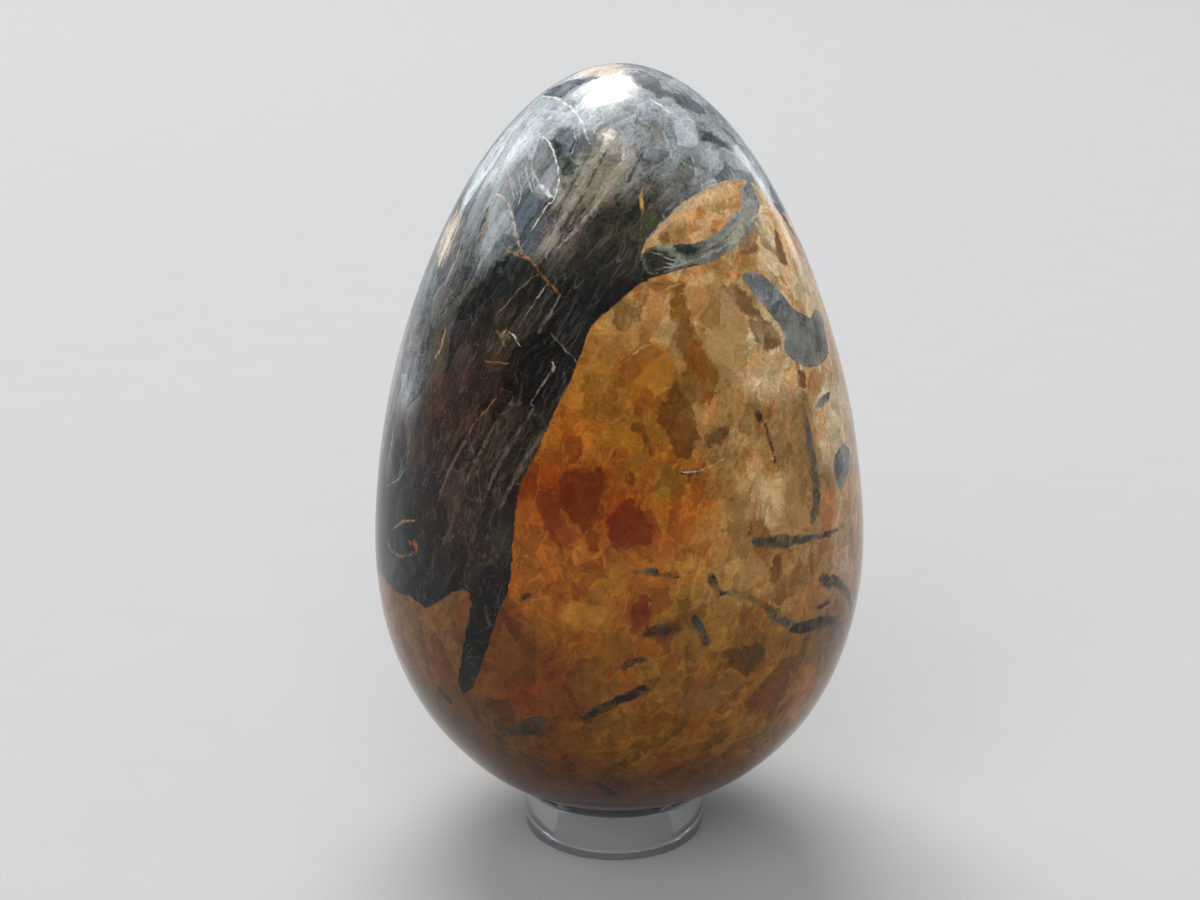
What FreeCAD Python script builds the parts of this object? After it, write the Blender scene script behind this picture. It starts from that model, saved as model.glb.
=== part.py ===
import FreeCAD, Part
import math
import os

# A solid egg of polished stone that stands, pointed end up, in a short ring of clear tube.
# Millimetres, +Z up. The origin is the middle of the ring's foot, on the surface it stands on.

# Ring: a slice cut from thick-walled round tube, with a small bevel on each of its four rims
ring_outer_diameter = 19.05
ring_wall = 3.175
ring_height = 5.0
ring_bevel = 0.35

# Egg: one outline turned about Z, blunt end down, with a small flat ground on its point
egg_width = 50.8
egg_height = 76.8
egg_widest_height = 28.4
tip_flat_diameter = 3.6
tip_edge_angle = 10.0

# How far each end of the outline keeps its direction, as shares of the sizes named beside them
blunt_end_share = 0.4       # of the half width, level, out from the blunt end
lower_side_share = 0.755    # of the widest height, upright, down from the widest circle
point_share = 0.603         # of the half width, where the line into the point starts

# The egg rests all round on the ring's upper inner rim, where the bevel meets the top
seat_clearance = 0.05

seat_search_steps = 60


def place(radius, height):
    """A point of an outline in the XZ plane, which is turned about Z."""
    return FreeCAD.Vector(radius, 0, height)


def bezier_point(poles, t):
    """The point at t, from 0 to 1, of the cubic curve through four poles."""
    a, b, c, d = poles
    s = 1 - t
    return a * s ** 3 + b * (3 * s * s * t) + c * (3 * s * t * t) + d * t ** 3


def bezier_direction(poles, t):
    """The direction in which that curve runs at t."""
    a, b, c, d = poles
    s = 1 - t
    return (b - a) * (s * s) + (c - b) * (2 * s * t) + (d - c) * (t * t)


def egg_poles():
    """Poles of the egg's lower and upper curve, which meet at the widest circle.

    Both are upright there, and the upper curve starts as round as the lower one ends.
    """
    half_width = egg_width / 2
    flat_radius = tip_flat_diameter / 2
    lower_reach = lower_side_share * egg_widest_height
    same_roundness = math.sqrt((1 - point_share) / (1 - blunt_end_share))
    upper_reach = lower_reach * same_roundness
    point_radius = point_share * half_width
    point_drop = (point_radius - flat_radius) * math.tan(math.radians(tip_edge_angle))
    lower = [
        place(0, 0),
        place(blunt_end_share * half_width, 0),
        place(half_width, egg_widest_height - lower_reach),
        place(half_width, egg_widest_height),
    ]
    upper = [
        place(half_width, egg_widest_height),
        place(half_width, egg_widest_height + upper_reach),
        place(point_radius, egg_height - point_drop),
        place(flat_radius, egg_height),
    ]
    return lower, upper


def seat_rim():
    """The circle that carries the egg, where the bore's upper bevel meets the ring's top.

    The egg's underside slopes less than the bevel there, so it touches nothing else.
    """
    bore_radius = ring_outer_diameter / 2 - ring_wall
    return place(bore_radius + ring_bevel, ring_height)


def egg_lift(lower):
    """Height of the egg's blunt end when the egg rests on the rim.

    The rim lies outside the lower curve by the clearance, square to the curve. The search
    finds where on the curve a point so far outside it has the rim's radius.
    """
    rim = seat_rim()

    def point_outside(t):
        run = bezier_direction(lower, t).normalize()
        outward = FreeCAD.Vector(run.z, 0, -run.x)
        return bezier_point(lower, t) + outward * seat_clearance

    inner, outer = 0.0, 1.0
    for _ in range(seat_search_steps):
        middle = (inner + outer) / 2
        if point_outside(middle).x < rim.x:
            inner = middle
        else:
            outer = middle
    return rim.z - point_outside(inner).z


def bezier_edge(poles):
    curve = Part.BezierCurve()
    curve.setPoles(poles)
    return curve.toShape()


def turned(edges):
    """The solid of an outline turned once round Z."""
    face = Part.Face(Part.Wire(edges))
    return face.revolve(FreeCAD.Vector(0, 0, 0), FreeCAD.Vector(0, 0, 1), 360)


def stone_egg():
    lower, upper = egg_poles()
    top = place(0, egg_height)
    edges = [
        bezier_edge(lower),
        bezier_edge(upper),
        Part.LineSegment(upper[-1], top).toShape(),
        Part.LineSegment(top, lower[0]).toShape(),
    ]
    egg = turned(edges)
    egg.translate(FreeCAD.Vector(0, 0, egg_lift(lower)))
    return egg


def ring_stand():
    outer_radius = ring_outer_diameter / 2
    bore_radius = outer_radius - ring_wall
    tube = Part.makeCylinder(outer_radius, ring_height)
    bore = Part.makeCylinder(bore_radius, ring_height)
    ring = tube.cut(bore)
    rims = [edge for edge in ring.Edges if edge.isClosed() and len(edge.Vertexes) == 1]
    return ring.makeChamfer(ring_bevel, rims)


def write_part(name, shape):
    solid = shape.Solids[0]
    solid.exportStep(os.path.join("parts", name + ".step"))
    box = solid.optimalBoundingBox(False, False)
    print(name, "valid" if solid.isValid() else "not valid", "volume", round(solid.Volume, 2))
    print("  from", round(box.XMin, 3), round(box.YMin, 3), round(box.ZMin, 3))
    print("  to", round(box.XMax, 3), round(box.YMax, 3), round(box.ZMax, 3))


def main():
    os.makedirs("parts", exist_ok=True)
    ring = ring_stand()
    egg = stone_egg()
    write_part("ring_stand", ring)
    write_part("stone_egg", egg)
    print("least gap between egg and ring", round(egg.distToShape(ring)[0], 4))


main()
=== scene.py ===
import math

import bpy
import numpy as np
from mathutils import Matrix, Vector
from mathutils.bvhtree import BVHTree


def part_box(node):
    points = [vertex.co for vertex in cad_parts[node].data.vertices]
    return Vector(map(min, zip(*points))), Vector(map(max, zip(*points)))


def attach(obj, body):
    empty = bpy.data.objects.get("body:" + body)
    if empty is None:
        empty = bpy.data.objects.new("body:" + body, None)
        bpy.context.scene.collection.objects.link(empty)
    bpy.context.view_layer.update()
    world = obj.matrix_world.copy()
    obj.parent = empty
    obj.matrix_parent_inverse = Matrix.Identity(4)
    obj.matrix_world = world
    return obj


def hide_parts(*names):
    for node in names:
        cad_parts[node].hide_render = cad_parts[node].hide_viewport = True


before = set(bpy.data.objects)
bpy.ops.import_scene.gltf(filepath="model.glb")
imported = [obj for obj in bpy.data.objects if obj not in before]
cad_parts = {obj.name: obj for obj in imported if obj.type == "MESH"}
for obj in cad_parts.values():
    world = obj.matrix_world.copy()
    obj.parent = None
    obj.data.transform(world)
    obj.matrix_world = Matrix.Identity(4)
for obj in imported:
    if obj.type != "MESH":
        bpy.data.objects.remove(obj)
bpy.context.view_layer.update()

MM = 0.001

# The least length in mm, and the least square of one, that anything is divided by
TINY = 0.001
LEAST = 1e-9

# The egg's outline: shares of its half width and of its heights, and sizes in mm
WIDEST_SHARE = 0.3698
BLUNT_END_SHARE = 0.4
LOWER_SIDE_SHARE = 0.755
POINT_SHARE = 0.603
TIP_FLAT_RADIUS = 1.8
TIP_EDGE_SLOPE = math.tan(math.radians(10))
OUTLINE_STEPS = 2400
CREASE_SOFTENING = 0.3

# The egg's mesh: squares along each edge of the cube that is blown up into it
CUBE_STEPS = 128

# Hand grinding: the left side is a little flatter than the right, and the surface undulates
BOW = 0.55
BOW_START = (1.5, 9.0)
BOW_END = (32.0, 50.0)
BOW_LEFT_SHARE = 0.25
UNDULATION = 0.05
UNDULATION_LENGTH = 19.0
UNDULATION_SPREAD = (0.6, 1.4)
UNDULATION_WAVES = 9
UNDULATION_SEED = 11
UNDULATION_FADE_SHARES = (0.8, 0.95)
LEAST_HOLLOW_SHARE = 0.3

# The share of each square of the UV map that stays free at its edges
UV_MARGIN = 0.02

# The ring's wall and the radius of its rims in mm, and how finely both are turned
RING_WALL = 3.175
RIM_RADIUS = 0.35
RIM_STEPS = 6
RING_SEGMENTS = 192

# Camera, measured from the middle of the ring's foot
PHOTO_WIDTH, PHOTO_HEIGHT = 1200, 900
FOCAL_PIXELS = 2100
SENSOR = 36
CAMERA_DISTANCE = 231.0
CAMERA_ELEVATION = 28.1
CAMERA_PITCH = 18.17
CAMERA_YAW = -0.487
CAMERA_ROLL = 0.3
CLIP_START = 0.01

# Places on the stone. Photo points are pixels of the photograph; round points are an azimuth in
# degrees, 0 towards the viewer and 90 to the viewer's right, and a height above the floor in mm.
# Curves are walked in steps of pixels, or of degrees and mm together. A painted shape is
# followed as far off its edge as FAR says, in mm, and between spots of tone a faint share of
# each reaches further.
PHOTO_STEP = 9
ROUND_STEP = 4
EGG_MIDDLE = (619, 470)
FAR = 3.0
FAINT_SHARE = 1e-5
FAINT_REACH = 20

# Tones of the stone, and of the light and shade painted on it, as they look on a screen
TONES = {
    "white": "f4f4f2", "cream": "dccdb8", "pearl": "b9c2c6", "mist": "949c9e", "smoke": "74767a",
    "ash": "7b7b72", "slate": "5c6468", "navy": "4a525a", "teal": "29322f", "ink": "1d1e1b",
    "soot": "151411", "umber": "3c2d1f", "plum": "362724", "fibre": "80746a", "moss": "3f4027",
    "olive": "4c350f", "bark": "5f3813", "rust": "682a04", "russet": "7a390b", "amber": "7a4a10",
    "orange": "a05a19", "honey": "9a6522", "tan": "a57d49", "sand": "c29b67", "blush": "b08a67",
    "rose": "8c684b", "clay": "74502d", "peach": "b87a42", "gold": "d8a04c", "straw": "e2c493",
    "apricot": "dcae78", "sage": "a29a86", "bistre": "66564a", "ochre": "7f561f", "dusk": "4e4d4a",
    "murk": "38362b",
}

SCREEN_GAMMA = 2.2
# What the blotches of the paler part do to its tone, each with how much of it they do
PALE_TINTS = [((0.82, 0.55, 0.34), 0.8), ((0.6, 0.57, 0.44), 0.7), ((1.28, 1.42, 1.75), 0.65)]
CRACK_TINT = (0.45, 0.42, 0.4)
VIOLET_TINT = (1.13, 0.92, 1.0)
MOSS_TINT = (0.9, 1.0, 0.66)
PALE_FIBRE_WAY = (0.35, 0.2, 0.95)
DARK_FIBRE_WAY = (0.55, 0.25, 0.8)
CROSS_FIBRE_WAY = (-0.8, -0.3, 0.5)

# The unseen far side, by how far a place has turned away from the camera, from 0 to 1. The dark
# mass's edge has waves, each a height in photo pixels, its shortest and longest length in mm
# and where it is full; they all start at one place, and as many run across as upward. The mass
# ends at a foot, a height in mm that is reached at the turn beside it.
FAR_SIDE_WAVES = [(38, 38, 70, 0.75), (14, 9, 20, 0.35)]
WAVE_START = 0.02
WAVES_EACH_WAY = 5
WAVE_SEED = 5
FAR_SIDE_FOOT = 17.0
FOOT_TURN = 0.4

# Seeded crystals and blades of the unseen sides: azimuths and tilts in degrees, the rest in mm
HIDDEN_SEED = 23
HIDDEN_CRYSTALS = 46
CRYSTAL_AZIMUTHS, CRYSTAL_HEIGHTS, CRYSTAL_TILTS = (90, 268), (7, 72), (30, 110)
CRYSTAL_LENGTHS, CRYSTAL_WIDTHS = (2.0, 5.5), (1.0, 2.6)
CRYSTAL_CHOICES = ["rust", "bark", "amber", "sand", "olive", "tan", "russet", "sand"]
GRAIN_CORNERS = 8
GRAIN_WOBBLE = (0.7, 1.2)
HIDDEN_BLADES = 30
BLADE_AZIMUTHS, BLADE_HEIGHTS = (96, 262), (9, 62)
BLADE_TILTS, BLADE_TILT_DRIFT = [8, 25, 80, 95, 150], 12
BLADE_REACHES, BLADE_HALF_WIDTHS = (2, 6), (0.25, 0.7)
BLADE_SIDE_DRIFT, BLADE_RISE_DRIFT = 0.8, 0.15
BLADE_SHARES = (-1, -0.3, 0.4, 1)
BLADE_MIDDLE_SHARE, BLADE_TAPER = 1.1, 0.6
BLADE_CHOICES = ["ink", "soot", "teal", "moss", "umber"]
BLADE_CLEARANCE = 0.5
DEGREES_PER_MM = 57.3 / 22

# Tones of the unseen sides: azimuth, height and reach
HIDDEN_DARK_TONES = [
    ("ink", 300, 40, 5), ("plum", 250, 45, 5), ("mist", 230, 60, 4), ("smoke", 200, 68, 5),
    ("ink", 200, 50, 6), ("pearl", 170, 74, 3), ("mist", 140, 70, 4), ("slate", 160, 60, 4),
    ("plum", 180, 35, 6), ("teal", 220, 35, 4), ("umber", 240, 25, 5), ("soot", 150, 45, 5),
    ("ink", 120, 55, 5), ("umber", 200, 20, 5), ("teal", 270, 60, 4), ("smoke", 280, 50, 3),
]
HIDDEN_PALE_TONES = [
    ("sand", 100, 55, 4), ("blush", 95, 35, 4), ("tan", 110, 20, 5), ("tan", 120, 45, 5),
    ("honey", 135, 30, 5), ("orange", 150, 20, 5), ("honey", 160, 40, 5), ("russet", 175, 28, 4),
    ("sand", 190, 45, 5), ("tan", 205, 15, 5), ("rose", 225, 22, 5), ("clay", 250, 14, 5),
    ("rose", 275, 20, 4), ("honey", 240, 35, 5), ("sand", 150, 60, 4), ("tan", 180, 65, 5),
    # The bark and clay spots near the foot all round are darker, partly as painted shade towards the
    # bottom.
    ("bark", 180, 8, 5), ("clay", 90, 10, 5), ("bark", 0, 6, 5), ("blush", 260, 50, 5),
]

FLOOR_COLOUR = (0.5, 0.5, 0.495)
FLOOR_HALF_WIDTH = 3.0
FLOOR_NOISE, FLOOR_SHADE = (0.01, 3.0), (0.2, 0.8, 0.985, 1.0)
FLOOR_ROUGHNESS, FLOOR_SPECULAR = 0.8, 0.2
WORLD_COLOUR = (0.9, 0.93, 1.0)
WORLD_STRENGTH = 0.35
BACKDROP_STRENGTH = 0.62

# Softboxes, all as far off and aimed at one place, in metres: an azimuth and an elevation in
# degrees, width and height, level, colour, and whether the polish mirrors them
LIGHT_DISTANCE = 2.4
LIGHT_AIM = (0, 0, 0.045)
LIGHTS = [
    ("overhead", -164, 62, (1.45, 1.3), 0.9, (1, 1, 1), True),
    ("left", -128, 24, (0.5, 0.9), 0.09, (0.9, 0.96, 1), True),
    ("right", 142, 10, (0.35, 0.8), 0.04, (0.95, 0.98, 1), True),
    ("front", -12, 42, (2.4, 1.6), 0.55, (1, 1, 1), False),
]

# Where the dark, streaked mass lies, and where the stone's tones lie, some with painted light or shade
# as noted: photo pixels
DARK_OUTLINE = [
    (611, 309), (592, 325), (580, 356), (568, 386), (552, 417), (541, 444), (529, 466), (520, 487),
    (516, 511), (513, 544), (509, 585), (497, 617), (489, 643), (480, 667), (472, 689), (462, 695),
    (458, 684), (461, 660), (466, 630), (471, 603), (466, 590), (453, 592), (439, 601), (425, 608),
    (411, 596), (395, 592), (378, 572), (340, 560), (300, 400), (340, 100), (500, -60), (700, -60),
    (840, 130), (800, 205), (777, 210), (766, 196), (748, 180), (722, 182), (700, 192), (680, 205),
    (662, 224), (645, 243), (640, 254), (652, 262), (690, 262), (668, 274), (640, 284),
]
DARK_TONES = [
    # At the crown these spots are lighter than the mass lower down: partly the stone's own pale veils,
    # partly painted light on the top of the egg, and the white ones a painted highlight under the
    # overhead softbox's glare.
    ("pearl", 562, 116, 2.0), ("pearl", 588, 112, 1.4), ("white", 600, 96, 1.2),
    ("white", 620, 92, 1.2), ("pearl", 642, 100, 1.2), ("pearl", 540, 108, 1.6),
    ("slate", 572, 140, 1.2), ("slate", 566, 166, 1.2), ("smoke", 548, 118, 1.2),
    ("smoke", 540, 160, 1.6), ("pearl", 518, 138, 1.5), ("smoke", 522, 174, 1.4),
    # The pearl spots here, the cream spot below and the mist and smoke spots at x 410 to 425 lie on a
    # pale band down the left edge that is partly a painted reflection of the left softbox.
    ("pearl", 498, 160, 1.3), ("pearl", 478, 185, 1.2), ("mist", 478, 215, 1.4),
    ("cream", 446, 240, 1.2), ("mist", 490, 244, 1.6), ("smoke", 470, 262, 2.0),
    ("dusk", 455, 300, 2.0), ("mist", 425, 285, 1.8), ("smoke", 412, 335, 2.2), ("mist", 410, 380, 1.6),
    ("dusk", 404, 430, 1.6), ("navy", 530, 222, 1.6), ("ink", 500, 290, 2.0), ("sage", 580, 190, 1.4),
    # The mist, smoke and pearl spots high on the crown here and below are lighter partly as painted
    # light on the top of the egg.
    ("sage", 600, 165, 1.6), ("fibre", 560, 232, 1.4), ("mist", 625, 118, 1.8),
    ("smoke", 650, 128, 1.8), ("pearl", 662, 110, 1.4), ("mist", 692, 112, 1.6),
    ("mist", 688, 134, 1.6), ("mist", 722, 148, 1.4), ("mist", 704, 162, 1.6), ("pearl", 748, 184, 1.3),
    ("mist", 658, 156, 1.6), ("ash", 644, 178, 1.6), ("murk", 656, 208, 1.4), ("dusk", 680, 184, 1.2),
    ("ash", 690, 166, 1.2), ("murk", 620, 222, 2.2), ("murk", 600, 245, 2.0), ("plum", 585, 225, 1.0),
    ("ink", 600, 285, 2.2), ("ink", 575, 325, 2.2), ("soot", 545, 370, 2.8), ("murk", 510, 330, 1.8),
    ("umber", 500, 350, 1.6), ("plum", 470, 370, 2.4), ("dusk", 440, 345, 1.6),
    ("umber", 440, 385, 2.0), ("plum", 430, 440, 2.6), ("umber", 480, 430, 2.6),
    ("murk", 510, 450, 2.0), ("umber", 490, 490, 2.6), ("plum", 440, 490, 2.6),
    ("umber", 460, 530, 2.6), ("teal", 392, 500, 2.0), ("dusk", 390, 468, 1.2), ("teal", 400, 540, 1.8),
    ("ink", 396, 575, 1.8), ("ink", 505, 520, 2.2), ("soot", 495, 590, 2.8), ("soot", 470, 665, 2.6),
    ("ink", 440, 570, 2.4),
]
PALE_TONES = [
    ("honey", 620, 400, 3.2), ("orange", 565, 430, 2.6), ("honey", 590, 360, 2.6),
    # The straw spots on the upper right side, in this row and below, are lighter than the tan and sand
    # around them, partly as painted light falling from the right.
    ("tan", 640, 305, 2.8), ("sand", 700, 275, 2.6), ("straw", 780, 250, 2.4),
    ("apricot", 700, 218, 1.6), ("apricot", 725, 200, 1.4), ("sand", 750, 262, 1.8),
    ("straw", 808, 305, 2.2), ("amber", 640, 440, 2.0), ("russet", 580, 500, 2.6),
    ("russet", 630, 525, 2.6), ("orange", 560, 565, 2.8), ("honey", 600, 585, 2.6),
    ("orange", 680, 500, 2.8), ("honey", 660, 470, 2.2), ("tan", 735, 425, 2.8), ("tan", 765, 480, 3.0),
    ("straw", 770, 365, 1.8), ("tan", 790, 440, 2.2), ("straw", 838, 430, 2.0), ("sand", 855, 490, 2.4),
    ("tan", 800, 510, 2.4), ("blush", 852, 560, 2.4), ("tan", 800, 575, 2.8), ("tan", 740, 565, 2.6),
    ("honey", 690, 565, 2.8), ("ochre", 770, 640, 3.0), ("ochre", 690, 640, 3.0),
    ("amber", 620, 640, 3.0), ("amber", 575, 620, 2.4), ("bark", 500, 660, 2.6),
    ("rust", 530, 690, 2.4), ("bark", 560, 705, 3.0), ("clay", 430, 640, 3.0), ("bark", 445, 670, 2.4),
    # These last rows lie low on the egg; their bark, olive, umber and ochre tones are darker partly as
    # the stone's own and partly as painted shade towards the bottom.
    ("olive", 470, 740, 3.6), ("bark", 560, 760, 4.0), ("ochre", 630, 735, 3.4),
    ("ochre", 700, 700, 3.4), ("ochre", 740, 730, 3.0), ("ochre", 810, 690, 3.4),
    ("bark", 680, 780, 4.0), ("umber", 600, 800, 4.0), ("clay", 836, 630, 2.6),
]

# Single crystals in the paler part: a tone and an outline in photo pixels
CRYSTALS = [
    ("rust", [(560, 478), (568, 467), (590, 471), (606, 471), (602, 492), (597, 513), (584, 532),
        (570, 518), (559, 502)]),
    ("russet", [(549, 504), (560, 512), (572, 528), (580, 540), (566, 548), (550, 540), (545, 520)]),
    ("rust", [(606, 520), (620, 504), (635, 499), (640, 513), (654, 526), (648, 543), (628, 549),
        (611, 544)]),
    ("rust", [(588, 532), (601, 540), (598, 550), (584, 546)]),
    ("bark", [(676, 381), (683, 392), (696, 420), (697, 441), (686, 459), (676, 456), (668, 438),
        (656, 420), (658, 408), (670, 398)]),
    ("amber", [(674, 330), (686, 322), (697, 334), (708, 356), (718, 374), (717, 388), (711, 399),
        (700, 408), (689, 395), (681, 370), (677, 350)]),
    ("amber", [(672, 286), (680, 283), (686, 300), (690, 322), (682, 334), (674, 326), (671, 305)]),
    ("honey", [(630, 357), (655, 343), (668, 346), (677, 361), (675, 379), (654, 388), (632, 388),
        (620, 376)]),
    ("bark", [(633, 421), (642, 424), (648, 437), (648, 447), (640, 440), (633, 430)]),
    ("olive", [(704, 436), (716, 430), (726, 426), (730, 418), (732, 430), (726, 441), (712, 447),
        (703, 446)]),
    ("ochre", [(655, 466), (664, 460), (674, 470), (682, 486), (680, 500), (664, 500), (655, 486)]),
    ("tan", [(686, 288), (708, 284), (730, 295), (745, 311), (748, 328), (747, 350), (744, 371),
        (729, 381), (718, 370), (704, 348), (695, 326), (688, 305)]),
    ("clay", [(722, 283), (744, 289), (755, 306), (762, 322), (752, 322), (738, 306), (726, 294)]),
    ("clay", [(751, 318), (764, 318), (778, 330), (780, 344), (770, 354), (758, 344), (751, 332)]),
    ("sand", [(751, 350), (760, 345), (767, 352), (766, 370), (756, 380), (749, 372)]),
    ("sand", [(770, 352), (780, 349), (786, 360), (780, 375), (770, 378)]),
    ("peach", [(807, 372), (815, 368), (824, 376), (824, 388), (816, 396), (810, 388)]),
    ("bark", [(797, 373), (804, 370), (806, 384), (803, 392), (797, 386)]),
    ("peach", [(824, 488), (832, 484), (837, 500), (836, 520), (826, 530), (819, 520), (821, 502)]),
    ("sand", [(752, 448), (760, 452), (764, 474), (760, 496), (752, 500), (748, 474)]),
    ("sand", [(768, 478), (778, 474), (784, 494), (778, 520), (768, 532), (762, 510)]),
    ("tan", [(786, 462), (800, 458), (806, 480), (804, 512), (794, 528), (786, 508)]),
    ("rust", [(745, 530), (751, 526), (752, 534), (746, 538)]),
    ("bark", [(774, 558), (781, 555), (780, 574), (774, 588), (769, 578)]),
    ("bark", [(791, 658), (784, 672), (774, 690), (764, 708), (750, 714), (744, 704), (756, 690),
        (768, 674), (778, 660)]),
    ("bark", [(792, 660), (790, 680), (780, 700), (768, 718), (760, 706), (770, 686), (780, 668)]),
    ("olive", [(722, 652), (740, 650), (752, 644), (766, 644), (762, 664), (748, 674), (730, 668)]),
    ("honey", [(779, 664), (760, 684), (740, 704), (724, 718), (730, 706), (748, 688), (766, 668)]),
    ("honey", [(806, 664), (816, 668), (812, 690), (800, 712), (788, 724), (790, 700), (800, 680)]),
    ("tan", [(665, 334), (670, 330), (676, 344), (684, 360), (686, 370), (680, 373), (674, 362),
        (668, 348)]),
    ("bark", [(492, 648), (520, 646), (540, 658), (536, 672), (516, 680), (496, 668)]),
    ("rust", [(627, 474), (633, 474), (635, 486), (630, 492), (626, 484)]),
    ("tan", [(676, 230), (690, 222), (702, 226), (694, 237), (680, 240)]),
    ("amber", [(656, 238), (664, 233), (672, 236), (664, 242)]),
    ("tan", [(714, 204), (724, 200), (730, 206), (722, 214), (714, 212)]),
    ("peach", [(692, 210), (702, 206), (706, 216), (698, 222)]),
    ("honey", [(566, 606), (588, 600), (604, 610), (600, 626), (578, 632), (562, 622)]),
    ("rust", [(636, 600), (648, 590), (652, 604), (646, 626), (636, 640), (630, 622)]),
    ("amber", [(590, 640), (618, 634), (636, 648), (626, 664), (600, 668), (584, 656)]),
    ("clay", [(700, 680), (722, 684), (716, 704), (692, 716), (680, 702)]),
    ("rose", [(736, 243), (745, 232), (754, 222), (758, 236), (756, 252), (744, 256)]),
    ("clay", [(776, 228), (781, 240), (788, 262), (784, 268), (776, 250)]),
]

# Paler stone enclosed in the dark mass, and dark patches that lie apart from it
PALE_ISLANDS = [
    [(648, 243), (662, 230), (682, 216), (704, 198), (728, 190), (741, 192), (742, 203),
     (730, 214), (714, 234), (694, 241), (672, 243)],
]
DARK_OUTLIERS = [
    ("ash", [(748, 181), (758, 196), (759, 212), (750, 233), (732, 250), (708, 263), (684, 269),
        (650, 276), (643, 262), (646, 248), (672, 245), (700, 242), (718, 232), (732, 217), (742, 205),
        (740, 189)]),
    ("ash", [(741, 275), (756, 272), (768, 280), (780, 292), (792, 307), (804, 315), (811, 318),
        (814, 309), (820, 312), (824, 326), (827, 341), (828, 355), (820, 365), (810, 368), (798, 364),
        (789, 356), (783, 348), (786, 337), (780, 325), (768, 312), (758, 299), (749, 287)]),
    ("ash", [(814, 408), (822, 396), (831, 390), (829, 400), (820, 408)]),
    ("ash", [(835, 456), (843, 443), (849, 449), (850, 466), (845, 482), (840, 492), (834, 472)]),
]

# Patches of one tone in the dark mass
MASSES = [
    ("cream", [(572, 74), (584, 66), (604, 63), (628, 66), (618, 74), (600, 79), (584, 77)]),
    ("navy", [(541, 96), (556, 86), (575, 79), (598, 77), (590, 83), (575, 88), (562, 97), (548, 100)]),
    ("smoke", [(624, 74), (642, 71), (664, 82), (680, 94), (664, 98), (650, 92), (636, 84)]),
    ("slate", [(672, 90), (690, 97), (708, 112), (700, 116), (684, 108), (672, 98)]),
    ("teal", [(551, 140), (561, 142), (567, 150), (577, 164), (573, 172), (563, 178), (557, 164),
        (553, 152)]),
    ("navy", [(567, 130), (574, 128), (576, 140), (572, 156), (568, 146)]),
    ("smoke", [(541, 134), (549, 141), (555, 154), (558, 170), (558, 190), (553, 199), (545, 190),
        (538, 176), (534, 160), (537, 144)]),
    ("smoke", [(742, 276), (752, 272), (768, 280), (782, 292), (790, 306), (778, 314), (766, 306),
        (752, 292)]),
    ("smoke", [(490, 181), (482, 190), (472, 205), (465, 222), (466, 236), (475, 222), (485, 206),
        (491, 192)]),
    ("mist", [(492, 200), (500, 197), (509, 205), (512, 218), (513, 232), (505, 226), (496, 214)]),
    # A painted glint: a cream patch about the crown's brightest spot.
    ("cream", [(598, 132), (606, 128), (613, 133), (616, 140), (607, 143), (600, 139)]),
    ("navy", [(515, 196), (526, 190), (541, 198), (547, 207), (545, 222), (538, 238), (528, 245),
        (521, 238), (515, 222), (512, 208)]),
    # A painted highlight: a cream streak on the upper left, where the left softbox's reflection runs.
    ("cream", [(450, 222), (454, 226), (450, 240), (444, 256), (440, 264), (437, 258), (441, 244)]),
    ("ink", [(508, 256), (525, 257), (536, 267), (526, 279), (510, 291), (482, 309), (466, 322),
        (454, 315), (477, 286), (490, 270)]),
    ("soot", [(526, 337), (552, 333), (573, 356), (566, 386), (552, 405), (525, 403), (510, 389),
        (516, 365)]),
    ("ash", [(646, 140), (650, 128), (656, 115), (661, 124), (668, 138), (656, 142)]),
    ("mist", [(718, 152), (728, 150), (746, 166), (762, 190), (756, 196), (738, 180)]),
    ("navy", [(692, 130), (706, 131), (724, 141), (732, 150), (720, 148), (702, 139)]),
    ("umber", [(516, 596), (530, 594), (546, 606), (550, 626), (540, 642), (522, 632)]),
    ("soot", [(396, 440), (402, 436), (406, 448), (403, 466), (396, 470), (392, 458)]),
    ("pearl", [(541, 99), (552, 98), (566, 104), (577, 118), (572, 127), (558, 124), (546, 112)]),
    ("slate", [(553, 132), (560, 126), (574, 130), (577, 142), (568, 146), (558, 142)]),
    ("teal", [(382, 560), (398, 556), (416, 566), (412, 582), (396, 586), (382, 576)]),
    ("teal", [(672, 246), (690, 243), (702, 248), (684, 256)]),
    ("murk", [(644, 252), (660, 250), (676, 258), (668, 270), (650, 275)]),
    ("sage", [(747, 190), (757, 200), (757, 214), (747, 232), (733, 246), (722, 240), (736, 224),
        (746, 208)]),
]

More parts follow.
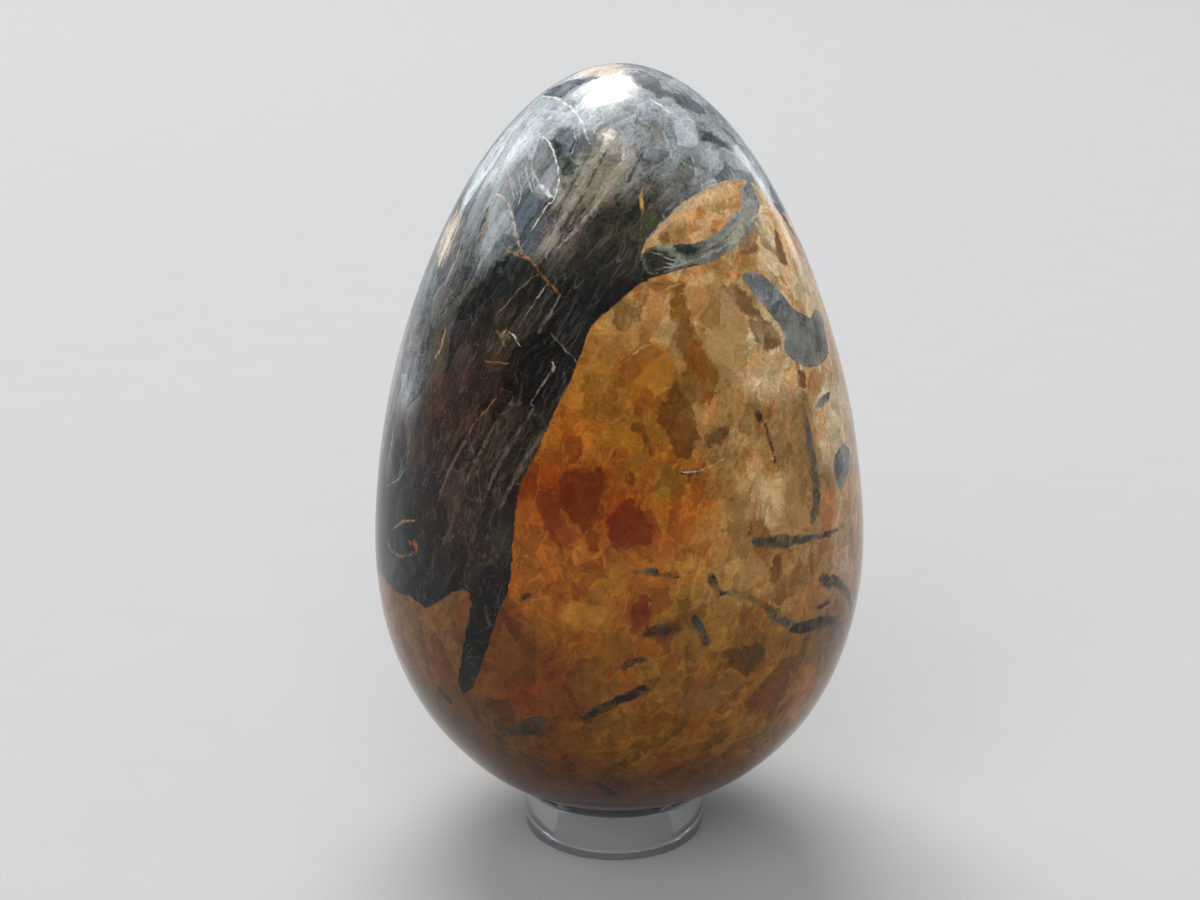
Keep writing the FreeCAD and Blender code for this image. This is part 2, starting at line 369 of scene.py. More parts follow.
# Blades in the paler part: a tone, then pixel x, pixel y and half width in pixels
BLADES = [
    ("dusk", [(803, 408, 2), (808, 430, 4.5), (812, 456, 5.5), (815, 472, 5)]),
    ("teal", [(813, 470, 6), (817, 485, 7), (816, 505, 6), (813, 521, 3)]),
    ("bark", [(812, 538, 2), (811, 556, 2.5), (812, 576, 2)]),
    ("murk", [(756, 542, 5), (775, 542, 6.5), (795, 540, 5.5), (812, 538, 3), (832, 532, 3),
        (843, 527, 2)]),
    ("ink", [(822, 579, 5), (830, 583, 6)]),
    ("moss", [(832, 580, 6), (845, 590, 4.5), (851, 606, 4), (847, 622, 3.5)]),
    ("rust", [(847, 620, 3), (840, 627, 4)]),
    ("ink", [(818, 608, 3), (828, 603, 3)]),
    ("dusk", [(772, 618, 2.5), (784, 621, 4.5), (792, 624, 5)]),
    ("soot", [(792, 629, 5), (806, 627, 7), (820, 622, 7), (834, 621, 4)]),
    ("teal", [(711, 576, 3), (714, 584, 4), (721, 594, 2.5)]),
    ("moss", [(722, 594, 3), (740, 594, 3), (756, 600, 2.5), (770, 610, 3.5), (776, 616, 3)]),
    ("moss", [(637, 572, 2.5), (654, 572, 3), (668, 575, 2.5), (679, 577, 2)]),
    ("teal", [(694, 618, 2.5), (700, 628, 5), (706, 642, 4)]),
    ("umber", [(646, 634, 5), (662, 630, 7), (680, 628, 4)]),
    ("ink", [(584, 719, 2.5), (600, 710, 5), (622, 699, 5.5), (643, 690, 6)]),
    ("umber", [(618, 669, 2), (632, 662, 3.5), (643, 660, 3)]),
    ("umber", [(521, 754, 4), (546, 764, 4)]),
    ("ink", [(596, 783, 4), (612, 793, 6), (620, 798, 3)]),
    ("ink", [(758, 414, 4), (760, 420, 3.5)]),
    ("umber", [(765, 425, 2), (770, 440, 2), (775, 461, 2)]),
    ("ink", [(440, 690, 5), (449, 700, 6)]),
    ("murk", [(502, 735, 3), (514, 731, 7), (530, 727, 10), (540, 721, 7)]),
    ("moss", [(380, 580, 4), (390, 630, 4), (402, 657, 5), (417, 681, 5), (428, 700, 3)]),
    ("umber", [(680, 474, 2), (690, 474, 2.5), (702, 470, 2)]),
    ("teal", [(776, 206, 3), (792, 230, 4), (806, 256, 3), (816, 282, 2)]),
    ("ink", [(520, 600, 2.5), (528, 596, 3)]),
]

# Cracks, veils, painted glints and painted reflections of the softboxes: a tone, then pixel x, pixel y
# and half width in pixels
VEILS_AND_PAINTED_HIGHLIGHTS = [
    ("white", [(538, 97, 0.9), (552, 97, 1.3), (565, 103, 1.3), (576, 113, 1.3), (584, 127, 1.2),
        (589, 143, 0.8)]),
    ("pearl", [(574, 128, 0.4), (576, 142, 0.7), (570, 158, 0.5)]),
    ("white", [(540, 134, 0.7), (548, 140, 0.9), (554, 152, 1), (557, 165, 1), (559, 180, 1),
        (557, 192, 1), (552, 201, 0.6)]),
    ("pearl", [(540, 136, 0.8), (534, 152, 1.1), (531, 164, 1.2), (536, 178, 1.3), (542, 190, 1)]),
    ("cream", [(548, 204, 1), (540, 216, 1.2), (533, 228, 0.8)]),
    # The next four lines are a pale band down the upper left edge, partly a painted reflection of the
    # left softbox, ending in a cream painted highlight.
    ("pearl", [(533, 104, 2), (518, 122, 3.5), (500, 142, 4.5), (487, 162, 3.5), (480, 172, 2)]),
    ("white", [(492, 166, 2), (480, 180, 4.5), (468, 194, 4), (463, 210, 1.5)]),
    ("white", [(459, 204, 1), (456, 214, 1.8), (452, 222, 1)]),
    ("cream", [(462, 212, 1.5), (458, 226, 2), (448, 250, 2), (442, 266, 1)]),
    ("pearl", [(520, 130, 1), (514, 150, 1.4), (506, 166, 1)]),
    ("pearl", [(526, 128, 1), (530, 146, 1.2), (528, 160, 0.8)]),
    ("pearl", [(507, 170, 0.8), (512, 186, 1.2), (514, 200, 0.8)]),
    ("cream", [(496, 194, 1), (504, 198, 1.5), (510, 206, 1.2), (513, 222, 1.4), (515, 232, 1.5),
        (520, 244, 1)]),
    ("blush", [(514, 236, 1), (522, 250, 1.3), (534, 264, 1.1)]),
    ("honey", [(532, 262, 1), (546, 280, 1.5), (561, 295, 1.2)]),
    ("tan", [(503, 245, 0.8), (514, 255, 1.2), (528, 258, 1.2), (536, 266, 1)]),
    ("tan", [(491, 214, 1), (485, 228, 2), (480, 242, 1.2)]),
    # From here to the bistre tail below are painted glints: bright spots with warm halos, and the gold
    # one's faint tail.
    ("white", [(541, 184, 1), (546, 190, 2.6), (550, 196, 1.5)]),
    ("cream", [(515, 132, 1.5), (512, 139, 3), (510, 146, 1.5)]),
    ("white", [(603, 133, 1), (607, 135, 2.4), (611, 138, 1.5)]),
    ("cream", [(594, 131, 1), (597, 127, 1.6), (599, 124, 0.8)]),
    ("blush", [(618, 138, 1), (617, 143, 1.5), (612, 147, 1)]),
    ("cream", [(622, 146, 1), (624, 152, 1.6), (623, 158, 1)]),
    ("gold", [(642, 190, 1), (641, 200, 2.4), (643, 212, 1)]),
    ("bistre", [(642, 214, 0.8), (641, 228, 1.2), (640, 238, 0.6)]),
    ("white", [(652, 100, 1), (664, 108, 1.8), (680, 120, 1)]),
    ("cream", [(722, 149, 0.8), (738, 156, 2), (750, 170, 2), (760, 187, 1)]),
    ("peach", [(746, 168, 0.6), (755, 179, 1.3), (764, 194, 0.8)]),
    ("pearl", [(664, 133, 1), (668, 145, 1.4), (672, 156, 1)]),
    ("pearl", [(680, 136, 1), (690, 146, 1.4), (693, 162, 1)]),
    ("sage", [(645, 132, 1), (632, 156, 2), (608, 190, 2.2), (584, 220, 2), (560, 246, 1.2)]),
    ("fibre", [(638, 150, 0.6), (622, 174, 1.1), (600, 204, 1.1), (574, 236, 0.8)]),
    ("murk", [(642, 154, 1), (628, 180, 2.4), (606, 212, 2.6), (580, 242, 1.2)]),
    ("sage", [(602, 146, 1), (590, 168, 1.7), (576, 196, 1.9), (560, 224, 1.6), (547, 256, 1)]),
    ("murk", [(606, 150, 0.8), (594, 174, 1.6), (580, 200, 1.6), (566, 226, 1)]),
    ("mist", [(597, 146, 0.6), (580, 176, 1), (565, 204, 1), (551, 238, 0.7)]),
    ("fibre", [(620, 148, 1), (606, 172, 1.2), (590, 196, 1.2), (572, 222, 1)]),
    ("fibre", [(612, 148, 0.6), (598, 176, 0.9), (580, 206, 0.9), (562, 236, 0.6)]),
    ("murk", [(583, 162, 0.8), (570, 190, 1.8), (556, 220, 1.2)]),
    ("murk", [(488, 208, 1), (485, 218, 2.2), (480, 230, 1.2)]),
    ("navy", [(506, 122, 0.8), (494, 150, 1.6), (484, 172, 1)]),
    ("pearl", [(536, 112, 0.8), (535, 126, 1.6), (531, 142, 0.8)]),
    ("pearl", [(522, 164, 0.5), (528, 178, 1), (532, 192, 0.6)]),
    ("pearl", [(518, 176, 0.5), (521, 190, 0.9), (519, 204, 0.5)]),
    ("sage", [(742, 181, 1), (722, 184, 2), (700, 194, 2.4), (680, 208, 2.4), (660, 226, 2),
        (646, 242, 1)]),
    ("smoke", [(730, 172, 1), (706, 180, 2), (682, 196, 2.2), (664, 214, 1.6)]),
    ("mist", [(690, 146, 0.5), (676, 160, 0.8), (666, 176, 0.6)]),
    ("mist", [(606, 118, 0.6), (616, 128, 0.8), (630, 132, 0.8), (642, 126, 0.6)]),
    ("pearl", [(628, 112, 0.6), (634, 124, 0.8), (646, 134, 0.6)]),
    ("rose", [(534, 276, 0.5), (516, 293, 0.8), (497, 315, 0.5)]),
    ("sage", [(547, 286, 0.5), (536, 300, 0.8), (525, 318, 0.5)]),
    ("fibre", [(560, 296, 0.8), (548, 318, 1.2), (540, 334, 0.8)]),
    ("fibre", [(575, 360, 0.8), (566, 351, 1), (552, 335, 0.8)]),
    ("fibre", [(554, 366, 1.2), (543, 384, 1), (532, 402, 0.8)]),
    ("cream", [(553, 364, 0.8), (555, 368, 1.6), (554, 372, 0.8)]),
    ("rose", [(498, 332, 1.5), (503, 336, 2.6), (504, 344, 1.5)]),
    ("bistre", [(552, 308, 1), (545, 322, 2.2), (538, 333, 1)]),
    ("cream", [(508, 330, 0.5), (515, 337, 0.9), (519, 345, 0.6)]),
    ("rose", [(486, 362, 0.6), (497, 362, 1), (508, 364, 0.6)]),
    ("rose", [(496, 398, 0.6), (486, 410, 1), (476, 422, 0.6)]),
    ("bistre", [(556, 416, 1), (538, 440, 2.4), (518, 472, 2.4), (500, 508, 1)]),
    ("bistre", [(534, 408, 1), (516, 436, 2.2), (498, 466, 2.2), (484, 500, 1)]),
    ("bistre", [(512, 400, 1), (496, 424, 2), (480, 452, 2), (464, 486, 1)]),
    ("bistre", [(476, 420, 1), (462, 446, 1.8), (448, 474, 1.8), (438, 500, 1)]),
    ("bistre", [(468, 438, 0.5), (475, 460, 0.9), (480, 486, 0.6), (478, 508, 0.5)]),
    # The mist streak below and the pearl streak two lines later, high on the left edge, are partly a
    # painted reflection of the left softbox.
    ("mist", [(398, 350, 0.6), (393, 376, 1.1), (388, 408, 0.8)]),
    ("mist", [(404, 470, 0.6), (398, 480, 1.2), (388, 486, 0.8)]),
    ("pearl", [(392, 360, 0.5), (388, 384, 0.9), (384, 410, 0.6)]),
    ("smoke", [(410, 440, 0.6), (402, 462, 1), (396, 486, 0.6)]),
    # A painted glint, gold with a white end.
    ("gold", [(445, 330, 0.8), (442, 344, 1.5), (436, 357, 1.2)]),
    ("olive", [(458, 332, 1), (455, 344, 2.2), (450, 354, 1.2)]),
    # A cream line down the left edge, partly a painted reflection of the left softbox.
    ("cream", [(404, 318, 1), (395, 350, 1.6), (389, 380, 1.4), (383, 416, 1)]),
    # Two painted glints, gold and cream, low on the left edge.
    ("gold", [(393, 424, 0.6), (392, 440, 1.2), (389, 458, 1.8)]),
    ("cream", [(386, 432, 0.8), (384, 442, 1.4), (382, 450, 1)]),
    ("honey", [(409, 428, 0.6), (409, 444, 1.3), (408, 462, 0.8)]),
    ("tan", [(392, 530, 1), (402, 522, 1.6), (414, 520, 1)]),
    ("orange", [(410, 542, 1.5), (416, 545, 3), (416, 552, 1.5)]),
    ("rose", [(388, 540, 2), (390, 550, 2), (400, 556, 1.8), (412, 554, 1)]),
    ("cream", [(684, 472, 0.6), (692, 472, 1.1), (700, 471, 0.8)]),
    ("sand", [(700, 470, 0.8), (712, 466, 1), (724, 459, 0.8)]),
    ("sage", [(656, 270, 0.6), (690, 262, 1.2), (722, 248, 0.8)]),
    ("mist", [(652, 252, 0.5), (682, 261, 0.9), (712, 254, 0.9), (738, 236, 0.5)]),
    ("sage", [(706, 248, 0.5), (730, 232, 1), (750, 204, 0.8)]),
    ("mist", [(718, 240, 0.5), (740, 216, 0.9), (746, 192, 0.5)]),
    ("murk", [(690, 256, 0.8), (716, 246, 1.4), (738, 226, 0.8)]),
    # Two small painted glints on the pale fibrous columns.
    ("sand", [(770, 472, 0.6), (772, 480, 1.1), (776, 490, 0.6)]),
    ("cream", [(768, 508, 0.6), (767, 516, 1.1), (765, 524, 0.6)]),
    ("cream", [(751, 220, 1), (760, 215, 2), (768, 224, 1)]),
    ("sand", [(626, 362, 0.5), (642, 348, 0.9), (664, 340, 0.6)]),
    ("sand", [(648, 300, 0.5), (664, 290, 0.9), (680, 284, 0.6)]),
]


def smooth(value, low, high):
    """0 below low, 1 above high, and a smooth step between."""
    t = np.clip((value - low) / (high - low), 0, 1)
    return t * t * (3 - 2 * t)


def mm_box(node):
    low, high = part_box(node)
    return np.array(low) / MM, np.array(high) / MM


def cubic(poles, t):
    a, b, c, d = [np.array(pole, float) for pole in poles]
    t = t[:, None]
    s = 1 - t
    return a * s ** 3 + 3 * b * s * s * t + 3 * c * s * t * t + d * t ** 3


def egg_outline():
    """Radius and height from the blunt end to the tip, evenly spaced along the outline."""
    low, high = mm_box("stone_egg")
    half_width = (high[0] - low[0]) / 2
    height = high[2] - low[2]
    widest = WIDEST_SHARE * height
    reach = LOWER_SIDE_SHARE * widest
    upper_reach = reach * math.sqrt((1 - POINT_SHARE) / (1 - BLUNT_END_SHARE))
    point = POINT_SHARE * half_width
    drop = (point - TIP_FLAT_RADIUS) * TIP_EDGE_SLOPE
    t = np.linspace(0, 1, OUTLINE_STEPS)
    lower = cubic([(0, 0), (BLUNT_END_SHARE * half_width, 0), (half_width, widest - reach),
                   (half_width, widest)], t)
    upper = cubic([(half_width, widest), (half_width, widest + upper_reach),
                   (point, height - drop), (TIP_FLAT_RADIUS, height)], t)
    flat = np.array([(TIP_FLAT_RADIUS, height), (0, height)], float)
    line = np.vstack([lower, upper[1:], flat[1:]])
    run = np.concatenate([[0], np.cumsum(np.linalg.norm(np.diff(line, axis=0), axis=1))])
    even = np.linspace(0, run[-1], OUTLINE_STEPS)
    radius = np.interp(even, run, line[:, 0])
    rise = np.interp(even, run, line[:, 1])
    half = int(CREASE_SOFTENING / (even[1] - even[0]))
    kernel = np.hanning(2 * half + 3)
    kernel /= kernel.sum()
    beyond = half + 1
    radius = np.convolve(np.concatenate([-radius[beyond:0:-1], radius, -radius[-2:-beyond - 2:-1]]),
                         kernel, "valid")
    rise = np.convolve(np.concatenate([rise[beyond:0:-1], rise, rise[-2:-beyond - 2:-1]]),
                       kernel, "valid")
    return radius, rise + low[2]


def cube_sphere(steps):
    """Unit directions, squares and UVs of a cube's six grids blown up into a sphere."""
    angle = np.linspace(-math.pi / 4, math.pi / 4, steps + 1)
    flat = np.tan(angle)
    across, up = np.meshgrid(flat, flat, indexing="ij")
    ones = np.ones_like(across)
    sides = [(across, -ones, up), (ones, across, up), (-across, ones, up), (-ones, -across, up),
             (across, up, ones), (across, -up, -ones)]
    places, squares, uvs = [], [], []
    column, row = np.meshgrid(np.arange(steps), np.arange(steps), indexing="ij")
    corner = (column * (steps + 1) + row).ravel()
    ring = np.stack([corner, corner + steps + 1, corner + steps + 2, corner + 1], axis=1)
    share = np.linspace(UV_MARGIN, 1 - UV_MARGIN, steps + 1)
    u_grid, v_grid = np.meshgrid(share, share, indexing="ij")
    for index, side in enumerate(sides):
        points = np.stack([part.ravel() for part in side], axis=1)
        places.append(points / np.linalg.norm(points, axis=1)[:, None])
        squares.append(ring + index * (steps + 1) ** 2)
        u = (u_grid.ravel() + index % 3) / 3
        v = (v_grid.ravel() + index // 3) / 2
        uvs.append(np.stack([u, v], axis=1))
    places = np.vstack(places)
    squares = np.vstack(squares)
    loop_uvs = np.vstack(uvs)[squares.ravel()]
    keys = np.round(places, 6)
    _, first, where = np.unique(keys, axis=0, return_index=True, return_inverse=True)
    return places[first], where.ravel()[squares], loop_uvs


def undulation(places):
    """A gentle, seeded rise and fall of the ground surface, from -1 to 1."""
    rng = np.random.default_rng(UNDULATION_SEED)
    total = np.zeros(len(places))
    for _ in range(UNDULATION_WAVES):
        way = rng.normal(size=3)
        way *= 2 * math.pi / UNDULATION_LENGTH / np.linalg.norm(way)
        stretch = rng.uniform(*UNDULATION_SPREAD)
        total += np.sin(places @ way * stretch + rng.uniform(0, 2 * math.pi))
    return total / math.sqrt(UNDULATION_WAVES)


def egg_places(directions):
    radius, rise = egg_outline()
    share = np.arccos(np.clip(-directions[:, 2], -1, 1)) / math.pi * (len(radius) - 1)
    steps = np.arange(len(radius))
    r = np.interp(share, steps, radius)
    z = np.interp(share, steps, rise)
    around = np.arctan2(directions[:, 1], directions[:, 0])
    places = np.stack([r * np.cos(around), r * np.sin(around), z], axis=1)
    height = z - rise[0]
    body = smooth(height, *BOW_START)
    shift = BOW * body * (1 - (1 - BOW_LEFT_SHARE) * smooth(height, *BOW_END))
    places[:, 0] += shift * (1 - places[:, 0] / np.maximum(r, TINY)) / 2
    inward = places * [1, 1, 0]
    inward /= np.maximum(np.linalg.norm(inward, axis=1), TINY)[:, None]
    fade = [share * np.max(height) for share in UNDULATION_FADE_SHARES]
    waist = body * (1 - smooth(height, *fade))
    hollow = UNDULATION * (LEAST_HOLLOW_SHARE + 1 + np.clip(undulation(places), -1, 1))
    places -= inward * (waist * hollow)[:, None]
    return places


def camera_axes():
    """The camera's place in mm, and its right, up and forward directions."""
    elevation, pitch, yaw, roll = [math.radians(angle) for angle in
                                   (CAMERA_ELEVATION, CAMERA_PITCH, CAMERA_YAW, CAMERA_ROLL)]
    place = CAMERA_DISTANCE * np.array([0, -math.cos(elevation), math.sin(elevation)])
    forward = np.array([math.sin(yaw) * math.cos(pitch), math.cos(yaw) * math.cos(pitch),
                        -math.sin(pitch)])
    level = np.cross(forward, [0, 0, 1])
    level /= np.linalg.norm(level)
    upright = np.cross(level, forward)
    right = math.cos(roll) * level + math.sin(roll) * upright
    up = math.cos(roll) * upright - math.sin(roll) * level
    return place, right, up, forward


def add_camera():
    place, right, up, forward = camera_axes()
    data = bpy.data.cameras.new("camera")
    data.sensor_width = SENSOR
    data.lens = FOCAL_PIXELS * SENSOR / PHOTO_WIDTH
    data.clip_start = CLIP_START
    camera = bpy.data.objects.new("camera", data)
    turn = Matrix([right, up, -forward]).transposed().to_4x4()
    camera.matrix_world = Matrix.Translation(Vector(place * MM)) @ turn
    bpy.context.scene.collection.objects.link(camera)
    bpy.context.scene.camera = camera


def new_object(name, mesh):
    thing = bpy.data.objects.new(name, mesh)
    bpy.context.scene.collection.objects.link(thing)
    return thing


def egg_mesh():
    directions, squares, uvs = cube_sphere(CUBE_STEPS)
    places = egg_places(directions)
    mesh = bpy.data.meshes.new("polished_stone_egg")
    mesh.from_pydata((places * MM).tolist(), [], squares.tolist())
    layer = mesh.uv_layers.new(name="OFBake")
    layer.data.foreach_set("uv", uvs.ravel())
    mesh.shade_smooth()
    mesh.update()
    return mesh, places, squares


def ring_mesh():
    """A turned ring with rounded rims, inside the frame's ring."""
    low, high = mm_box("ring_stand")
    outer = (high[0] - low[0]) / 2
    inner = outer - RING_WALL
    height = high[2] - low[2]
    low_rim, high_rim = RIM_RADIUS, height - RIM_RADIUS
    corners = [(outer - RIM_RADIUS, low_rim, -90), (outer - RIM_RADIUS, high_rim, 0),
               (inner + RIM_RADIUS, high_rim, 90), (inner + RIM_RADIUS, low_rim, 180)]
    section = []
    for x, z, start in corners:
        for step in range(RIM_STEPS + 1):
            angle = math.radians(start + 90 * step / RIM_STEPS)
            section.append((x + RIM_RADIUS * math.cos(angle), z + RIM_RADIUS * math.sin(angle)))
    places, squares = [], []
    count = len(section)
    for turn in range(RING_SEGMENTS):
        angle = 2 * math.pi * turn / RING_SEGMENTS
        for x, z in section:
            places.append((x * math.cos(angle) * MM, x * math.sin(angle) * MM, (z + low[2]) * MM))
        following = (turn + 1) % RING_SEGMENTS
        for point in range(count):
            after = (point + 1) % count
            squares.append((turn * count + point, following * count + point,
                            following * count + after, turn * count + after))
    mesh = bpy.data.meshes.new("clear_ring")
    mesh.from_pydata(places, [], squares)
    mesh.shade_smooth()
    mesh.update()
    return mesh


class Surface:
    """The egg's points, and where a pixel or a direction meets it."""

    def __init__(self, places, squares):
        self.places = places
        self.tree = BVHTree.FromPolygons(places.tolist(), squares.tolist())
        self.eye, self.right, self.up, self.forward = camera_axes()
        across = places[squares[:, 2]] - places[squares[:, 0]]
        faces = np.cross(across, places[squares[:, 3]] - places[squares[:, 1]])
        self.normals = np.zeros_like(places)
        for corner in range(4):
            np.add.at(self.normals, squares[:, corner], faces)
        self.normals /= np.linalg.norm(self.normals, axis=1)[:, None]

    def pixels_of(self, places):
        """The photo pixels, and depths in mm, at which places lie."""
        off = places - self.eye
        depth = off @ self.forward
        x = PHOTO_WIDTH / 2 + FOCAL_PIXELS * (off @ self.right) / depth
        y = PHOTO_HEIGHT / 2 - FOCAL_PIXELS * (off @ self.up) / depth
        return np.stack([x, y], axis=1), depth

    def pixel(self, x, y):
        """The point of the egg that a photo pixel shows, or the nearest on its outline."""
        while True:
            ray = (self.forward * FOCAL_PIXELS + self.right * (x - PHOTO_WIDTH / 2)
                   + self.up * (PHOTO_HEIGHT / 2 - y))
            hit = self.tree.ray_cast(Vector(self.eye), Vector(ray).normalized())
            if hit[0] is not None:
                return np.array(hit[0])
            gap = math.dist((x, y), EGG_MIDDLE)
            x += (EGG_MIDDLE[0] - x) / gap
            y += (EGG_MIDDLE[1] - y) / gap

    def round(self, azimuth, height):
        angle = math.radians(azimuth)
        ray = Vector((math.sin(angle), -math.cos(angle), 0))
        return np.array(self.tree.ray_cast(Vector((0, 0, height)), ray)[0])

    def normal(self, place):
        return np.array(self.tree.find_nearest(Vector(place))[1])

    def outline_gap(self, outline):
        """Signed distance of the egg's points from an outline drawn on it."""
        middle = outline.mean(0)
        out = self.normal(middle)
        across = np.cross([0, 0, 1], out)
        across /= np.linalg.norm(across)
        flat = np.stack([across, np.cross(out, across)], axis=1)
        reach = np.linalg.norm(outline - middle, axis=1).max() + FAR
        off = self.places - middle
        near = np.nonzero(np.linalg.norm(off, axis=1) < reach)[0]
        gap = np.full(len(off), FAR)
        gap[near] = np.minimum(FAR, polygon_gap(off[near] @ flat, (outline - middle) @ flat))
        return gap

    def line_gap(self, line, widths):
        """Distance of the egg's points from a line of points, less the half width there.

        With it come the distance to the line's left or right, and the half width.
        """
        gap, side, width = [np.full(len(self.places), value) for value in (FAR, FAR, TINY)]
        middle = (line.min(0) + line.max(0)) / 2
        reach = np.linalg.norm(line - middle, axis=1).max() + widths.max() + FAR
        near = np.nonzero(np.linalg.norm(self.places - middle, axis=1) < reach)[0]
        here = self.places[near]
        for a, b, wide_a, wide_b in zip(line[:-1], line[1:], widths[:-1], widths[1:]):
            along = b - a
            share = np.clip((here - a) @ along / max(along @ along, TINY), 0, 1)
            off = here - a - share[:, None] * along
            away = np.linalg.norm(off, axis=1)
            wide = wide_a + (wide_b - wide_a) * share
            left = np.einsum("ij,ij->i", np.cross(along, off), self.normals[near])
            nearer = away - wide < gap[near]
            chosen = near[nearer]
            gap[chosen] = (away - wide)[nearer]
            side[chosen] = (np.sign(left) * away)[nearer]
            width[chosen] = wide[nearer]
        return gap, side, width

    def patch_gap(self, points):
        """Signed distance of the egg's points from an outline through photo points."""
        return self.outline_gap(np.array([self.pixel(*point)
                                          for point in curve_through(points, PHOTO_STEP, True)]))

    def pixel_size(self, place):
        return (place - self.eye) @ self.forward / FOCAL_PIXELS


def curve_through(points, step, closed=False):
    """Points about a step apart on a smooth curve through a few points."""
    points = [np.array(point, float) for point in points]
    count = len(points)
    path = []
    spans = count if closed else count - 1
    for index in range(spans):
        if closed:
            a, b, c, d = [points[(index + shift) % count] for shift in (-1, 0, 1, 2)]
        else:
            b, c = points[index], points[index + 1]
            a = points[index - 1] if index else 2 * b - c
            d = points[index + 2] if index + 2 < count else 2 * c - b
        steps = max(1, int(round(np.linalg.norm((c - b)[:2]) / step)))
        for t in np.arange(steps) / steps:
            path.append(b + 0.5 * t * (c - a + t * (2 * a - 5 * b + 4 * c - d
                                                    + t * (3 * (b - c) + d - a))))
    if not closed:
        path.append(points[-1])
    return path


def polygon_gap(points, outline):
    """Signed distance of flat points from a closed outline, negative inside."""
    least = np.full(len(points), np.inf)
    inside = np.zeros(len(points), bool)
    for a, b in zip(outline, np.roll(outline, -1, axis=0)):
        along = b - a
        off = points - a
        share = np.clip(off @ along / max(along @ along, LEAST), 0, 1)
        least = np.minimum(least, np.linalg.norm(off - share[:, None] * along, axis=1))
        crosses = (a[1] > points[:, 1]) != (b[1] > points[:, 1])
        rise = along[1] if along[1] else LEAST
        inside ^= crosses & (points[:, 0] < a[0] + (points[:, 1] - a[1]) * along[0] / rise)
    return np.where(inside, -least, least)


class Layer:
    """One painted layer: the distance to its nearest shape's edge, and that shape's tone."""

    def __init__(self, surface):
        self.surface = surface
        self.edge, self.side = [np.full(len(surface.places), FAR) for _ in range(2)]
        self.width = np.full(len(surface.places), TINY)
        self.tone = np.zeros((len(surface.places), 3))

    def add(self, gap, tone):
        nearer = gap < self.edge
        self.edge[nearer] = gap[nearer]
        self.tone[nearer] = tone
        return nearer

    def patch(self, tone, points):
        """An outlined patch, over the patches that came before it."""
        gap = self.surface.patch_gap(points)
        self.add(gap, tone)
        self.tone[gap < 0] = tone

    def grain(self, tone, azimuth, height, length, width, tilt, rng):
        """A single wobbly grain about a point of azimuth and height, its sizes in mm."""
        middle = self.surface.round(azimuth, height)
        out = self.surface.normal(middle)
        across = np.cross([0, 0, 1], out)
        across /= np.linalg.norm(across)
        rise = np.cross(out, across)
        lean = math.radians(tilt)
        outline = []
        for angle in np.arange(0, 2 * math.pi, 2 * math.pi / GRAIN_CORNERS):
            size = rng.uniform(*GRAIN_WOBBLE)
            along = size * length / 2 * math.cos(angle)
            beside = size * width / 2 * math.sin(angle)
            outline.append(middle + (along * math.cos(lean) - beside * math.sin(lean)) * across
                           + (along * math.sin(lean) + beside * math.cos(lean)) * rise)
        self.add(self.surface.outline_gap(np.array(outline)), tone)

    def line(self, tone, line, widths):
        gap, side, width = self.surface.line_gap(line, widths)
        nearer = self.add(gap, tone)
        self.side[nearer] = side[nearer]
        self.width[nearer] = width[nearer]

    def stroke(self, tone, points):
        """A stroke through points of pixel x, pixel y and half width in pixels."""
        path = curve_through(points, PHOTO_STEP)
        line = np.array([self.surface.pixel(x, y) for x, y, _ in path])
        widths = np.array([wide * self.surface.pixel_size(place)
                           for (_, _, wide), place in zip(path, line)])
        self.line(tone, line, widths)

    def round_stroke(self, tone, points):
        """A stroke through points of azimuth, height and half width in mm."""
        path = curve_through(points, ROUND_STEP)
        line = np.array([self.surface.round(azimuth, height) for azimuth, height, _ in path])
        self.line(tone, line, np.array([wide for _, _, wide in path]))


def ground_tones(surface, spots):
    """A smooth blend of tones between spots, each a place on the stone, a reach and a tone."""
    weight = np.full(len(surface.places), LEAST)
    total = np.zeros((len(surface.places), 3))
    for place, reach, tone in spots:
        away = np.linalg.norm(surface.places - place, axis=1)
        share = np.exp(-0.5 * (away / reach) ** 2) + FAINT_SHARE * np.exp(-away / FAINT_REACH)
        weight += share
        total += share[:, None] * np.array(tone)
    return total / weight[:, None]


def store(mesh, name, values):
    if values.ndim == 1:
        layer = mesh.attributes.new(name, "FLOAT", "POINT")
        layer.data.foreach_set("value", values.astype(np.float32))
    else:
        layer = mesh.attributes.new(name, "FLOAT_COLOR", "POINT")
        full = np.ones((len(values), 4), np.float32)
        full[:, :3] = values
        layer.data.foreach_set("color", full.ravel())


def tone(name):
    code = TONES[name]
    shares = [int(code[start:start + 2], 16) / 255 for start in (0, 2, 4)]
    return np.array([share ** SCREEN_GAMMA for share in shares])


